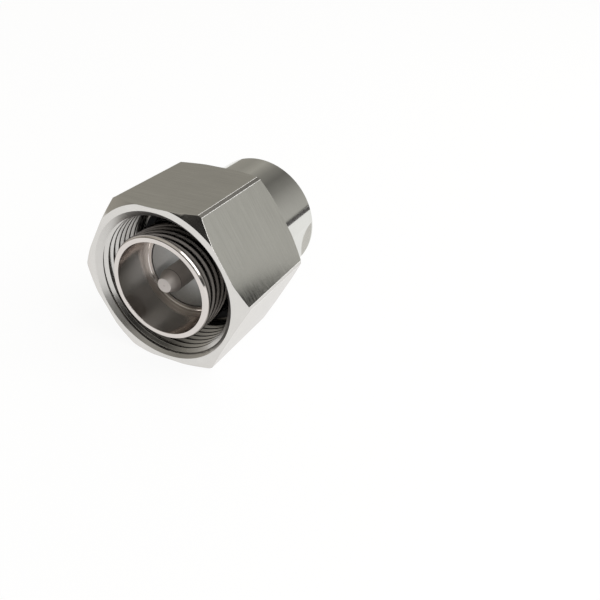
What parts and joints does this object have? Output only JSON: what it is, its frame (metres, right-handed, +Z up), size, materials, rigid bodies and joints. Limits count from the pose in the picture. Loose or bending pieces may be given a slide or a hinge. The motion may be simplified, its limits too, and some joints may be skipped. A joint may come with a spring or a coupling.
{
  "type": "coaxial terminator",
  "caption": "Plated coaxial terminator: a hexagon coupling nut with an inner thread round a solid outer contact and centre pin, and a round body with wrench flats and a slotted screw plug.",
  "frame": {"origin": "on the ground under the middle of the length, the part lying on a flat of its coupling nut", "axes": "+Z up, -Y is the way the mating end faces, the connector's axis runs along Y at half the nut's height"},
  "size_m": [0.0365, 0.0378, 0.032],
  "materials": {
    "nickel_satin": "nickel plated, fine milled satin",
    "nickel_polished": "nickel plated, polished",
    "contact_plating": "white bronze plated, polished",
    "spring_steel": "plain spring steel",
    "seal_rubber": "matt black silicone",
    "load_ceramic": "grey resistive film on ceramic"
  },
  "bodies": {
    "connector": {"connector_body": "nickel_polished", "outer_contact": "contact_plating", "face_gasket": "seal_rubber", "centre_pin": "contact_plating", "load_disc": "load_ceramic", "pin_washer": "spring_steel", "pin_nut": "nickel_polished", "contact_ring": "contact_plating", "clamp_tube": "nickel_polished", "disc_spring": "spring_steel", "rear_plug": "nickel_polished", "plug_seal": "seal_rubber"},
    "nut_retainer": {"retaining_ring": "spring_steel"},
    "nut": {"coupling_nut": "nickel_satin"}
  },
  "joints": [
    {"name": "nut_play", "type": "slide", "parent": "connector", "child": "nut_retainer", "axis": [0, 1, 0], "range_m": [-0.0004, 0.0004]},
    {"name": "nut_spin", "type": "hinge", "parent": "nut_retainer", "child": "nut", "pos_m": [0, 0, 0.016], "axis": [0, 1, 0], "continuous": true}
  ]
}
